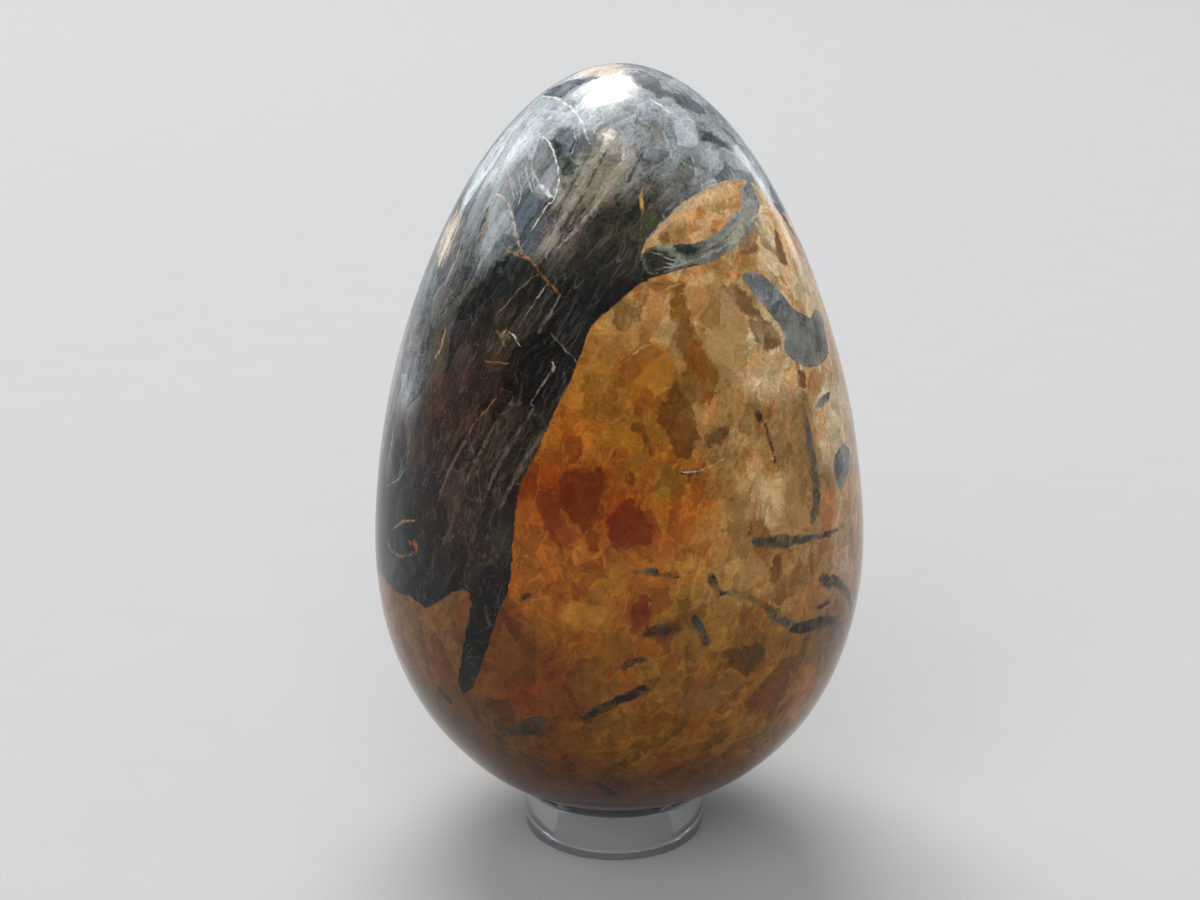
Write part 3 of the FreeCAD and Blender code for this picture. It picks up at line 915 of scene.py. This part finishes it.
def dark_mass_gap(surface):
    """Signed distance from the dark mass, which runs on through the egg to its far side."""
    places = surface.places
    pixels, depth = surface.pixels_of(places)
    facing_away = surface.normals @ surface.forward
    rng = np.random.default_rng(WAVE_SEED)
    for drift, shortest, longest, full in FAR_SIDE_WAVES:
        turned_away = smooth(facing_away, WAVE_START, full)
        for axis in [0] * WAVES_EACH_WAY + [1] * WAVES_EACH_WAY:
            way = rng.normal(size=3)
            way *= 2 * math.pi / rng.uniform(shortest, longest) / np.linalg.norm(way)
            wave = np.sin(places @ way + rng.uniform(0, 2 * math.pi))
            pixels[:, axis] += turned_away * drift * wave
    outline = np.array(curve_through(DARK_OUTLINE, PHOTO_STEP, True))
    gap = polygon_gap(pixels, outline) * depth / FOCAL_PIXELS
    near_side = (1 - smooth(facing_away, 0, FOOT_TURN)) * FAR_SIDE_FOOT
    gap = np.maximum(gap, FAR_SIDE_FOOT - places[:, 2] - near_side)
    for island in PALE_ISLANDS:
        gap = np.maximum(gap, -surface.patch_gap(island))
    for _, outlier in DARK_OUTLIERS:
        gap = np.minimum(gap, surface.patch_gap(outlier))
    return np.clip(gap, -FAR, FAR)


def spots_of(surface, table, hidden):
    spots = [(surface.pixel(x, y), reach, tone(name)) for name, x, y, reach in table]
    return spots + [(surface.round(azimuth, height), reach, tone(name))
                    for name, azimuth, height, reach in hidden]


def hidden_shapes(surface, crystals, blades, dark_gap, rng):
    """Seeded crystals and blades on the sides that the photograph doesn't show."""
    for _ in range(HIDDEN_CRYSTALS):
        azimuth, height = rng.uniform(*CRYSTAL_AZIMUTHS), rng.uniform(*CRYSTAL_HEIGHTS)
        name = rng.choice(CRYSTAL_CHOICES)
        crystals.grain(tone(name), azimuth, height, rng.uniform(*CRYSTAL_LENGTHS),
                       rng.uniform(*CRYSTAL_WIDTHS), rng.uniform(*CRYSTAL_TILTS), rng)
    for _ in range(HIDDEN_BLADES):
        azimuth, height = rng.uniform(*BLADE_AZIMUTHS), rng.uniform(*BLADE_HEIGHTS)
        tilt = math.radians(rng.choice(BLADE_TILTS) + rng.normal(0, BLADE_TILT_DRIFT))
        reach = rng.uniform(*BLADE_REACHES)
        half_width = rng.uniform(*BLADE_HALF_WIDTHS)
        line = []
        for share in BLADE_SHARES:
            side = share * reach * math.cos(tilt) * DEGREES_PER_MM + rng.normal(0, BLADE_SIDE_DRIFT)
            rise = share * reach * math.sin(tilt) + rng.normal(0, BLADE_RISE_DRIFT)
            width = half_width * (BLADE_MIDDLE_SHARE - BLADE_TAPER * abs(share))
            line.append((azimuth + side, height + rise, width))
        blade_tone = tone(rng.choice(BLADE_CHOICES))
        ends = [surface.round(*line[index][:2]) for index in (0, -1)]
        nearest = [np.argmin(np.linalg.norm(surface.places - end, axis=1)) for end in ends]
        if dark_gap[nearest].min() > BLADE_CLEARANCE:
            blades.round_stroke(blade_tone, line)


def paint_stone(mesh, places, squares):
    """Store on the mesh where each kind of stone lies and what tone it has there, painted light and
    shade included.
    """
    surface = Surface(places, squares)
    rng = np.random.default_rng(HIDDEN_SEED)
    dark_gap = dark_mass_gap(surface)
    store(mesh, "dark_gap", dark_gap)
    store(mesh, "dark_tone", ground_tones(surface, spots_of(surface, DARK_TONES, HIDDEN_DARK_TONES)))
    store(mesh, "pale_tone", ground_tones(surface, spots_of(surface, PALE_TONES, HIDDEN_PALE_TONES)))
    crystals, masses, blades, veils_and_highlights = [Layer(surface) for _ in range(4)]
    for name, outline in CRYSTALS:
        crystals.patch(tone(name), outline)
    for name, outline in DARK_OUTLIERS + MASSES:
        masses.patch(tone(name), outline)
    for name, line in BLADES:
        blades.stroke(tone(name), line)
    for name, line in VEILS_AND_PAINTED_HIGHLIGHTS:
        veils_and_highlights.stroke(tone(name), line)
    hidden_shapes(surface, crystals, blades, dark_gap, rng)
    for name, layer in (("crystal", crystals), ("mass", masses), ("blade", blades), ("veil", veils_and_highlights)):
        store(mesh, name + "_gap", layer.edge)
        store(mesh, name + "_tone", layer.tone)
    store(mesh, "veil_side", veils_and_highlights.side)
    store(mesh, "veil_width", veils_and_highlights.width)


# Patterns of the stone. A noise is a size in mm, a detail and a roughness. A bend is the size of
# the noise that pushes places about and how far it does, in mm. A rise is the two values between
# which an effect grows, and a strength also what it grows from and to. Weights are how much each
# pattern adds to a start value, and a calm is how much of a pattern is taken away.

# How far each painted layer's edge frays and how soft it is, in mm
EDGES = {"dark": (0.26, 0.06), "mass": (0.9, 0.18), "blade": (0.42, 0.15), "crystal": (0.9, 0.14)}
SOFT_RISE, SOFT_SHARES = (0.42, 0.62), (0.5, 2.5)
FRAY_NOISE, CRUMB_BEND, CRUMB = (1.3, 5.0, 0.65), (0.8, 0.6), 0.6
FRAY_WEIGHTS, FRAY_START = (1.5, 0.5), -1.0
CRACK_STRENGTH = 0.6

PALE_BENDS = [(5.0, 3.0), (1.2, 0.9)]
PALE_STRETCH, PALE_FIBRE_STRETCH = 1.7, 6.0
PALE_BROAD, PALE_CLOSE, PALE_CLOUD = (2.4, 5.0, 0.62), (0.8, 3.0, 0.6), (1.8, 6.0, 0.62)
PALE_GRAIN, PALE_FIBRE, PALE_SPECK = 1.8, (0.5, 3.0, 0.6), (0.28, 2.0, 0.6)
CRYSTAL_STRENGTH, CRYSTAL_CALM = (0.36, 0.6, 0.6, 0.95), -0.25
PALE_FIELD_WEIGHTS, PALE_FIELD_RISE = (0.6, 0.3, 0.26), (0.585, 0.66)
PALE_SHADE_WEIGHTS, PALE_SHADE_START, DARKEST_PALE = (0.3, 1.1, 0.5, 0.9), -1.4, -0.6
WISP_EDGE, WISP_RISE, WISP_CALM = (0.0, 0.1, 1.0, 0.0), (0.46, 0.56), -0.85
WISP_STRENGTH, WISP_LIGHTNESS = (0.08, 0.26, 0.5, 0.1), 1.6
PALE_CRACK, PALE_CRACK_WIDTH, PALE_CRACK_RISE = (2.2, 3.0), 0.01, (0.5, 0.6)

DARK_CLOUD, DARK_BEND, DARK_SPECK = (2.2, 6.0, 0.7), (4.0, 1.6), (0.3, 3.0, 0.65)
MASS_STRENGTH, BLADE_RISE = (0.38, 0.58, 0.6, 0.97), (0.0, 0.15)
MASS_CALM, LIGHT_CALM = -0.25, (0.08, 0.4, 1.0, 0.6)
HUES, HUE_RISE, TINGE_STRENGTH = (1.5, 5.0, 0.65), (0.5, 0.58), (0.1, 0.35, 0.8, 0.3)
SHARD_BEND, SHARD, SHARD_STRETCH, SHARD_CONTRAST = (1.5, 0.5), 2.0, 4.5, (0.7, 0.65)
BUNDLE, BUNDLE_STRETCH, BUNDLE_RISE = (1.4, 3.0, 0.55), 8.0, (0.46, 0.6)
THREAD, THREAD_STRETCH, THREAD_RISE = (0.3, 3.0, 0.6), 14.0, (0.5, 0.62)
DARK_SHADE_WEIGHTS, DARK_SHADE_START, DARKEST_DARK = (0.8, 2.0, 2.2, 1.2, 1.8), -4.0, 0.25
GAP_NOISE, GAP_STRETCH, GAP_WIDTH, GAP_RISE = (1.2, 2.0), 5.0, 0.02, (0.46, 0.56)
STREAK_LIGHTNESS, STREAK_SHARE, STREAK_STRENGTH = 2.2, 0.4, 0.35
LIT_EDGE, LIT_SHARD_RISE, LIT_HUE_RISE = (0.0, 0.05, 1.0, 0.0), (0.45, 0.55), (0.44, 0.54)
LIT_STRENGTH = 0.3

# Hair cracks: which way they run, their noise, width, the hue that they follow and a strength
HAIRS = [(DARK_FIBRE_WAY, (1.6, 1.0), 0.01, 2, 0.45), (CROSS_FIBRE_WAY, (1.8, 1.0), 0.009, 1, 0.35)]
HAIR_STRETCH, HAIR_RISE, HAIR_LIGHTNESS, HAIR_SHARE = 5.0, (0.48, 0.58), 2.3, 0.3

VEIL_SWAY, VEIL_PUSH, VEIL_BREAKS = (0.9, 3.0), (0.5, -0.25), (0.7, 4.0, 0.6)
VEIL_EDGE, VEIL_END, VEIL_STRENGTH = (0.4, 1.5, 1.0, 0.0), (0.1, 0.35, 1.0, 0.0), (0.38, 0.6, 0.15, 0.85)
WORN_NOISE, WORN_STRENGTH = (0.9, 4.0, 0.65), (0.36, 0.56, 0.55, 0.98)
STONE_ROUGHNESS, STONE_SPECULAR = 0.16, 0.24

ACRYLIC_COLOUR, ACRYLIC_TRANSMISSION, ACRYLIC_IOR = (0.93, 0.95, 0.95, 1), 0.82, 1.49
TURNING_WAY, TURNING_STRETCH, TURNING_NOISE = (0, 0, 1), 0.2, (0.5, 3.0)
ACRYLIC_ROUGHNESS = (0.3, 0.8, 0.08, 0.22)

# Sockets of a Mix node that mixes colours: its share, its two colours and its result
MIX_SHARE, MIX_A, MIX_B, MIX_RESULT = 0, 6, 7, 2


class Graph:
    """A material's nodes, made by short calls."""

    def __init__(self, name):
        self.material = bpy.data.materials.new(name)
        self.material.use_nodes = True
        self.tree = self.material.node_tree
        self.shader = self.tree.nodes["Principled BSDF"]

    def put(self, socket, value):
        if isinstance(value, bpy.types.NodeSocket):
            self.tree.links.new(value, socket)
        else:
            socket.default_value = value

    def node(self, kind, inputs, **settings):
        node = self.tree.nodes.new("ShaderNode" + kind)
        for key, value in settings.items():
            setattr(node, key, value)
        for socket, value in inputs.items():
            self.put(node.inputs[socket], value)
        return node

    def math(self, operation, *values):
        return self.node("Math", dict(enumerate(values)), operation=operation).outputs[0]

    def vector(self, operation, a, b):
        return self.node("VectorMath", {0: a, 1: b}, operation=operation).outputs[0]

    def scale(self, vector, factor):
        return self.node("VectorMath", {0: vector, "Scale": factor}, operation="SCALE").outputs[0]

    def weighed(self, values, weights, start):
        """A start value plus each value times its weight."""
        for value, weight in zip(values, weights):
            start = self.math("MULTIPLY_ADD", value, weight, start)
        return start

    def mix(self, share, a, b):
        node = self.node("Mix", {}, data_type="RGBA")
        self.put(node.inputs[MIX_SHARE], share)
        self.put(node.inputs[MIX_A], a)
        self.put(node.inputs[MIX_B], b)
        return node.outputs[MIX_RESULT]

    def step(self, value, low, high, start=0.0, end=1.0):
        """A smooth step of a value from start, at low, to end, at high."""
        return self.node("MapRange", {"Value": value, "From Min": low, "From Max": high,
                                      "To Min": start, "To Max": end},
                         interpolation_type="SMOOTHSTEP").outputs[0]

    def noise(self, place, size, detail=2.0, roughness=0.5):
        return self.node("TexNoise", {"Vector": place, "Scale": 1 / size, "Detail": detail,
                                      "Roughness": roughness})

    def cells(self, place, size, feature="F1"):
        return self.node("TexVoronoi", {"Vector": place, "Scale": 1 / size}, feature=feature)

    def parts(self, colour):
        return self.node("SeparateColor", {"Color": colour}).outputs

    def attribute(self, name, output):
        return self.node("Attribute", {}, attribute_name=name).outputs[output]

    def warped(self, place, size, amount):
        """Places pushed about by noise, so that what is drawn on them has no straight edges."""
        push = self.vector("SUBTRACT", self.noise(place, size).outputs["Color"], (0.5, 0.5, 0.5))
        return self.vector("ADD", place, self.scale(push, amount))

    def stretched(self, place, way, stretch):
        """Places squeezed along a direction, so that what is drawn on them is longer that way."""
        way = tuple(Vector(way).normalized())
        dot = self.node("VectorMath", {0: place, 1: way}, operation="DOT_PRODUCT").outputs["Value"]
        return self.vector("SUBTRACT", place, self.scale(way, self.math("MULTIPLY", dot,
                                                                        1 - 1 / stretch)))


def fibres(graph, place, way, stretch, noise):
    """A noise drawn out along a direction."""
    return graph.noise(graph.stretched(place, way, stretch), *noise).outputs["Fac"]


def cover(graph, name, fray):
    """How far a painted layer covers each place, its edge frayed and softer here and there."""
    wobble, soft = EDGES[name]
    sharpest, softest = [share * soft for share in SOFT_SHARES]
    gap = graph.math("MULTIPLY_ADD", fray[0], wobble, graph.attribute(name + "_gap", "Fac"))
    blur = graph.step(fray[1], *SOFT_RISE, sharpest, softest)
    return graph.step(gap, graph.math("MULTIPLY", blur, -1.0), blur, 1.0, 0.0)


def fray_of(graph, place):
    """How far edges are pushed in or out by the grains, in mm, and how soft they are."""
    noise = graph.parts(graph.noise(place, *FRAY_NOISE).outputs["Color"])
    crumb = graph.parts(graph.cells(graph.warped(place, *CRUMB_BEND), CRUMB).outputs["Color"])
    return graph.weighed((noise[0], crumb[0]), FRAY_WEIGHTS, FRAY_START), noise[1]


def ridge(graph, value, width):
    """A thin wandering line, where a noise passes through its middle."""
    off = graph.math("ABSOLUTE", graph.math("SUBTRACT", value, 0.5))
    return graph.step(off, 0.0, width, 1.0, 0.0)


def tinted(graph, colour, share, amount, tint):
    return graph.mix(graph.math("MULTIPLY", share, amount), colour,
                     graph.vector("MULTIPLY", colour, tint))


def lighter(graph, tones, lightness, share, name):
    """The tones made lighter, with a share of a named one."""
    return graph.mix(share, graph.scale(tones, lightness), (*tone(name), 1))


def pale_stone(graph, place, fray):
    """The paler stone: packed cloudy grains of honey, tan and rust, with wisps and fine cracks."""
    bent = graph.warped(graph.warped(place, *PALE_BENDS[0]), *PALE_BENDS[1])
    long_grain = graph.stretched(bent, PALE_FIBRE_WAY, PALE_STRETCH)
    broad = graph.parts(graph.noise(long_grain, *PALE_BROAD).outputs["Color"])
    close = graph.parts(graph.noise(bent, *PALE_CLOSE).outputs["Color"])
    grain = graph.parts(graph.cells(long_grain, PALE_GRAIN).outputs["Color"])
    cloud = graph.noise(place, *PALE_CLOUD).outputs["Fac"]
    crystal = cover(graph, "crystal", fray)
    ground = graph.attribute("pale_tone", "Color")
    colour = graph.mix(graph.math("MULTIPLY", crystal, graph.step(cloud, *CRYSTAL_STRENGTH)),
                       ground, graph.attribute("crystal_tone", "Color"))
    calm = graph.math("MULTIPLY_ADD", crystal, CRYSTAL_CALM, 1.0)
    for index, (tint, amount) in enumerate(PALE_TINTS):
        field = graph.weighed((broad[index], close[index], grain[index]), PALE_FIELD_WEIGHTS, 0.0)
        share = graph.math("MULTIPLY", graph.step(field, *PALE_FIELD_RISE), calm)
        colour = tinted(graph, colour, share, amount, tint)
    fibre = fibres(graph, bent, PALE_FIBRE_WAY, PALE_FIBRE_STRETCH, PALE_FIBRE)
    speck = graph.noise(place, *PALE_SPECK).outputs["Fac"]
    shade = graph.weighed((grain[0], cloud, fibre, speck), PALE_SHADE_WEIGHTS, PALE_SHADE_START)
    shade = graph.math("MAXIMUM", shade, DARKEST_PALE)
    colour = graph.scale(colour, graph.math("MULTIPLY_ADD", shade, calm, 1.0))
    seam = graph.cells(long_grain, PALE_GRAIN, "DISTANCE_TO_EDGE").outputs["Distance"]
    wisp = graph.math("MULTIPLY", graph.step(seam, *WISP_EDGE), graph.step(cloud, *WISP_RISE))
    wisp = graph.math("MULTIPLY", wisp, graph.math("MULTIPLY_ADD", crystal, WISP_CALM, 1.0))
    wisp = graph.math("MULTIPLY", wisp, graph.step(graph.parts(ground)[1], *WISP_STRENGTH))
    colour = graph.mix(wisp, colour, graph.scale(ground, WISP_LIGHTNESS))
    crack = ridge(graph, graph.noise(long_grain, *PALE_CRACK).outputs["Fac"], PALE_CRACK_WIDTH)
    crack = graph.math("MULTIPLY", crack, graph.step(broad[1], *PALE_CRACK_RISE))
    return tinted(graph, colour, crack, CRACK_STRENGTH, CRACK_TINT)


def dark_stone(graph, place, fray, blade):
    """The dark mass: long blades and fibres, with blue-grey clouds and pale fine cracks."""
    cloud = graph.noise(place, *DARK_CLOUD).outputs["Fac"]
    mass = cover(graph, "mass", fray)
    tones = graph.mix(graph.math("MULTIPLY", mass, graph.step(cloud, *MASS_STRENGTH)),
                      graph.attribute("dark_tone", "Color"), graph.attribute("mass_tone", "Color"))
    tones = graph.mix(graph.step(blade, *BLADE_RISE), tones, graph.attribute("blade_tone", "Color"))
    lightness = graph.parts(tones)[1]
    calm = graph.math("MULTIPLY_ADD", graph.math("MAXIMUM", mass, blade), MASS_CALM, 1.0)
    calm = graph.math("MULTIPLY", calm, graph.step(lightness, *LIGHT_CALM))
    bent = graph.warped(place, *DARK_BEND)
    hues = graph.parts(graph.noise(bent, *HUES).outputs["Color"])
    tinge = graph.math("MULTIPLY", calm, graph.step(lightness, *TINGE_STRENGTH))
    for index, tint in enumerate((VIOLET_TINT, MOSS_TINT)):
        tones = tinted(graph, tones, graph.step(hues[index], *HUE_RISE), tinge, tint)
    shard_place = graph.stretched(graph.warped(bent, *SHARD_BEND), DARK_FIBRE_WAY, SHARD_STRETCH)
    shard = graph.parts(graph.cells(shard_place, SHARD).outputs["Color"])
    seam = graph.cells(shard_place, SHARD, "DISTANCE_TO_EDGE").outputs["Distance"]
    bundle = fibres(graph, bent, DARK_FIBRE_WAY, BUNDLE_STRETCH, BUNDLE)
    thread = fibres(graph, bent, DARK_FIBRE_WAY, THREAD_STRETCH, THREAD)
    speck = graph.noise(place, *DARK_SPECK).outputs["Fac"]
    shade = graph.weighed((shard[0], bundle, cloud, thread, speck), DARK_SHADE_WEIGHTS,
                          DARK_SHADE_START)
    shade = graph.math("MAXIMUM", graph.math("MULTIPLY_ADD", shade, calm, 1.0), DARKEST_DARK)
    colour = graph.scale(tones, shade)
    colour = graph.scale(colour, graph.math("MULTIPLY_ADD", shard[2], *SHARD_CONTRAST))
    gap_line = ridge(graph, fibres(graph, bent, DARK_FIBRE_WAY, GAP_STRETCH, GAP_NOISE), GAP_WIDTH)
    gap_line = graph.math("MULTIPLY", gap_line, graph.step(hues[0], *GAP_RISE))
    colour = tinted(graph, colour, gap_line, CRACK_STRENGTH, CRACK_TINT)
    streak_tone = lighter(graph, tones, STREAK_LIGHTNESS, STREAK_SHARE, "fibre")
    streak = graph.math("MULTIPLY", graph.step(thread, *THREAD_RISE),
                        graph.step(bundle, *BUNDLE_RISE))
    colour = graph.mix(graph.math("MULTIPLY", streak, STREAK_STRENGTH), colour, streak_tone)
    lit_seam = graph.math("MULTIPLY", graph.step(seam, *LIT_EDGE),
                          graph.step(shard[1], *LIT_SHARD_RISE))
    lit_seam = graph.math("MULTIPLY", lit_seam, graph.step(hues[2], *LIT_HUE_RISE))
    colour = graph.mix(graph.math("MULTIPLY", lit_seam, LIT_STRENGTH), colour, streak_tone)
    hair_tone = lighter(graph, tones, HAIR_LIGHTNESS, HAIR_SHARE, "mist")
    for way, noise, width, hue, strength in HAIRS:
        hair = ridge(graph, fibres(graph, bent, way, HAIR_STRETCH, noise), width)
        hair = graph.math("MULTIPLY", hair, graph.step(hues[hue], *HAIR_RISE))
        colour = graph.mix(graph.math("MULTIPLY", hair, strength), colour, hair_tone)
    return colour


def veils_and_highlights_over(graph, colour, place):
    """Fine painted lines, painted glints and painted reflections among them, which stay as thin as their
    half width says.
    """
    sway = graph.math("MULTIPLY_ADD", graph.noise(place, *VEIL_SWAY).outputs["Fac"], *VEIL_PUSH)
    side = graph.math("ABSOLUTE", graph.math("ADD", graph.attribute("veil_side", "Fac"), sway))
    share = graph.math("DIVIDE", side, graph.attribute("veil_width", "Fac"))
    line = graph.math("MULTIPLY", graph.step(share, *VEIL_EDGE),
                      graph.step(graph.attribute("veil_gap", "Fac"), *VEIL_END))
    broken = graph.step(graph.noise(place, *VEIL_BREAKS).outputs["Fac"], *VEIL_STRENGTH)
    return graph.mix(graph.math("MULTIPLY", line, broken), colour,
                     graph.attribute("veil_tone", "Color"))


def place_in_mm(graph):
    return graph.scale(graph.node("TexCoord", {}).outputs["Object"], 1 / MM)


def stone_material():
    graph = Graph("polished_stone")
    place = place_in_mm(graph)
    fray = fray_of(graph, place)
    blade = cover(graph, "blade", fray)
    worn = graph.step(graph.noise(place, *WORN_NOISE).outputs["Fac"], *WORN_STRENGTH)
    dark = graph.math("MAXIMUM", cover(graph, "dark", fray), graph.math("MULTIPLY", blade, worn))
    colour = graph.mix(dark, pale_stone(graph, place, fray), dark_stone(graph, place, fray, blade))
    colour = veils_and_highlights_over(graph, colour, place)
    graph.put(graph.shader.inputs["Base Color"], colour)
    graph.shader.inputs["Roughness"].default_value = STONE_ROUGHNESS
    graph.shader.inputs["Specular IOR Level"].default_value = STONE_SPECULAR
    return graph.material


def acrylic_material():
    graph = Graph("clear_acrylic")
    inputs = graph.shader.inputs
    inputs["Base Color"].default_value = ACRYLIC_COLOUR
    inputs["Transmission Weight"].default_value = ACRYLIC_TRANSMISSION
    inputs["IOR"].default_value = ACRYLIC_IOR
    polish = fibres(graph, place_in_mm(graph), TURNING_WAY, TURNING_STRETCH, TURNING_NOISE)
    graph.put(inputs["Roughness"], graph.step(polish, *ACRYLIC_ROUGHNESS))
    return graph.material


def floor_material():
    graph = Graph("pale_floor")
    place = graph.node("TexCoord", {}).outputs["Object"]
    shade = graph.step(graph.noise(place, *FLOOR_NOISE).outputs["Fac"], *FLOOR_SHADE)
    graph.put(graph.shader.inputs["Base Color"], graph.scale(FLOOR_COLOUR, shade))
    graph.shader.inputs["Roughness"].default_value = FLOOR_ROUGHNESS
    graph.shader.inputs["Specular IOR Level"].default_value = FLOOR_SPECULAR
    return graph.material


def add_floor():
    mesh = bpy.data.meshes.new("floor")
    size = FLOOR_HALF_WIDTH
    mesh.from_pydata([(-size, -size, 0), (size, -size, 0), (size, size, 0), (-size, size, 0)], [],
                     [(0, 1, 2, 3)])
    mesh.materials.append(floor_material())
    new_object("floor", mesh)


def add_light(name, azimuth, elevation, size, level, colour, mirrored):
    """A softbox, its level the light that it gives a surface facing it."""
    data = bpy.data.lights.new(name, "AREA")
    data.shape = "RECTANGLE"
    data.size, data.size_y = size
    data.energy = level * (math.pi * LIGHT_DISTANCE) ** 2
    data.color = colour
    lamp = bpy.data.objects.new(name, data)
    around, rise = math.radians(azimuth), math.radians(elevation)
    way = Vector((math.sin(around) * math.cos(rise), -math.cos(around) * math.cos(rise),
                  math.sin(rise)))
    lamp.location = way * LIGHT_DISTANCE + Vector(LIGHT_AIM)
    lamp.rotation_euler = (-way).to_track_quat("-Z", "Y").to_euler()
    lamp.visible_glossy = mirrored
    bpy.context.scene.collection.objects.link(lamp)


def add_world():
    world = bpy.data.worlds.new("studio")
    world.use_nodes = True
    tree = world.node_tree
    background = tree.nodes["Background"]
    background.inputs["Color"].default_value = (*WORLD_COLOUR, 1)
    seen = tree.nodes.new("ShaderNodeMath")
    seen.operation = "MULTIPLY_ADD"
    seen.inputs[1].default_value = BACKDROP_STRENGTH - WORLD_STRENGTH
    seen.inputs[2].default_value = WORLD_STRENGTH
    tree.links.new(tree.nodes.new("ShaderNodeLightPath").outputs["Is Camera Ray"], seen.inputs[0])
    tree.links.new(seen.outputs[0], background.inputs["Strength"])
    bpy.context.scene.world = world


def add_egg():
    mesh, places, squares = egg_mesh()
    paint_stone(mesh, places, squares)
    mesh.materials.append(stone_material())
    egg = new_object("polished_stone_egg", mesh)
    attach(egg, "egg")
    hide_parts("stone_egg")


def add_ring():
    mesh = ring_mesh()
    mesh.materials.append(acrylic_material())
    ring = new_object("clear_ring", mesh)
    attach(ring, "ring")
    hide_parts("ring_stand")


def main():
    bpy.context.scene.view_settings.view_transform = "Standard"
    add_camera()
    add_floor()
    add_world()
    for light in LIGHTS:
        add_light(*light)
    add_egg()
    add_ring()


main()
